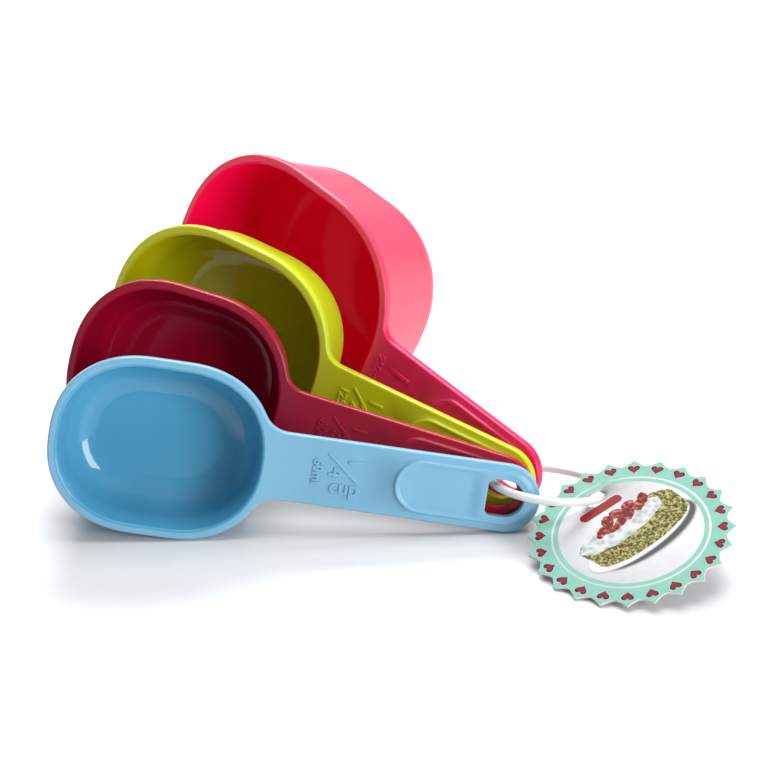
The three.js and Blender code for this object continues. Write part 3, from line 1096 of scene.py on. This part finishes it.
FLOOR_HALF = 3.0
FLOOR_SHADES = [(0.3, (0.72, 0.72, 0.725)), (0.7, (0.74, 0.74, 0.745))]
# Soft boxes: where each hangs, what it points at, its size in metres and its power in watts.
SOFTBOXES = {
    "key": ((0.82, -0.85, 0.34), (-0.05, 0, 0.04), (0.5, 0.66), 12),
    "back": ((0.0, 0.95, 0.9), (0, 0.02, 0.03), (0.8, 0.5), 20),
    "overhead": ((0.0, 0.3, 1.5), (0, 0.05, 0), (1.2, 0.9), 17),
}
# The studio's colour, and how its strength changes with a direction's height and side: from this
# value, to this value, strength at the first, strength at the second.
STUDIO_COLOUR = (0.93, 0.965, 1, 1)
STUDIO_UPWARDS = (-0.1, 0.9, 0.12, 0.5)
STUDIO_SIDEWAYS = (-1, 0.4, 0.35, 1.2)
CAMERA_ELEVATION = math.radians(26)
CAMERA_DISTANCE = 1.0
CAMERA_LENS = 122.0
CAMERA_SENSOR = 36.0
# The point on the table that the camera looks at, from the ring's middle.
TARGET_OFFSET = (-58.8, 108.7)


def build_floor():
    mesh = bpy.data.meshes.new("floor")
    work = bmesh.new()
    bmesh.ops.create_grid(work, x_segments=8, y_segments=8, size=FLOOR_HALF)
    work.to_mesh(mesh)
    work.free()
    floor = in_scene("floor", mesh)
    material, nodes, links, bsdf = shader("paper_white")
    coords = nodes.new("ShaderNodeTexCoord").outputs["Object"]
    paper = noise(nodes, links, PAPER_SCALE, 3, coords)
    links.new(ramp(nodes, links, paper, FLOOR_SHADES), bsdf.inputs["Base Color"])
    bsdf.inputs["Roughness"].default_value = 0.75
    bsdf.inputs["Specular IOR Level"].default_value = 0.15
    mesh.materials.append(material)


def softbox(name, spot, aim, size, power):
    light = bpy.data.lights.new(name, "AREA")
    light.shape = "RECTANGLE"
    light.size, light.size_y = size
    light.energy = power
    obj = in_scene(name, light)
    obj.location = spot
    direction = Vector(aim) - Vector(spot)
    obj.rotation_euler = direction.to_track_quat("-Z", "Y").to_euler()


def build_world():
    """A studio that is brighter above than below, and darker on the left, away from the key light."""
    world = bpy.data.worlds.new("studio")
    world.use_nodes = True
    nodes, links = world.node_tree.nodes, world.node_tree.links
    background = nodes["Background"]
    split = nodes.new("ShaderNodeSeparateXYZ")
    links.new(nodes.new("ShaderNodeTexCoord").outputs["Generated"], split.inputs["Vector"])
    upwards = map_range(nodes, links, split.outputs["Z"], *STUDIO_UPWARDS)
    sideways = map_range(nodes, links, split.outputs["X"], *STUDIO_SIDEWAYS)
    both = nodes.new("ShaderNodeMath")
    both.operation = "MULTIPLY"
    links.new(upwards, both.inputs[0])
    links.new(sideways, both.inputs[1])
    links.new(both.outputs["Value"], background.inputs["Strength"])
    background.inputs["Color"].default_value = STUDIO_COLOUR
    bpy.context.scene.world = world
    bpy.context.scene.view_settings.view_transform = "Standard"


def build_camera():
    data = bpy.data.cameras.new("camera")
    data.lens = CAMERA_LENS
    data.sensor_width = CAMERA_SENSOR
    camera = in_scene("camera", data)
    target = Vector((ring_at.x + TARGET_OFFSET[0], ring_at.y + TARGET_OFFSET[1], 0)) * MM
    back = Vector((0, -math.cos(CAMERA_ELEVATION), math.sin(CAMERA_ELEVATION)))
    camera.location = target + back * CAMERA_DISTANCE
    camera.rotation_euler = (-back).to_track_quat("-Z", "Y").to_euler()
    bpy.context.scene.camera = camera


for node, cup in CUPS.items():
    build_cup(node, cup)
build_ring()
build_card()
build_border()
build_picture()
build_floor()
for name, settings in SOFTBOXES.items():
    softbox(name, *settings)
build_world()
build_camera()
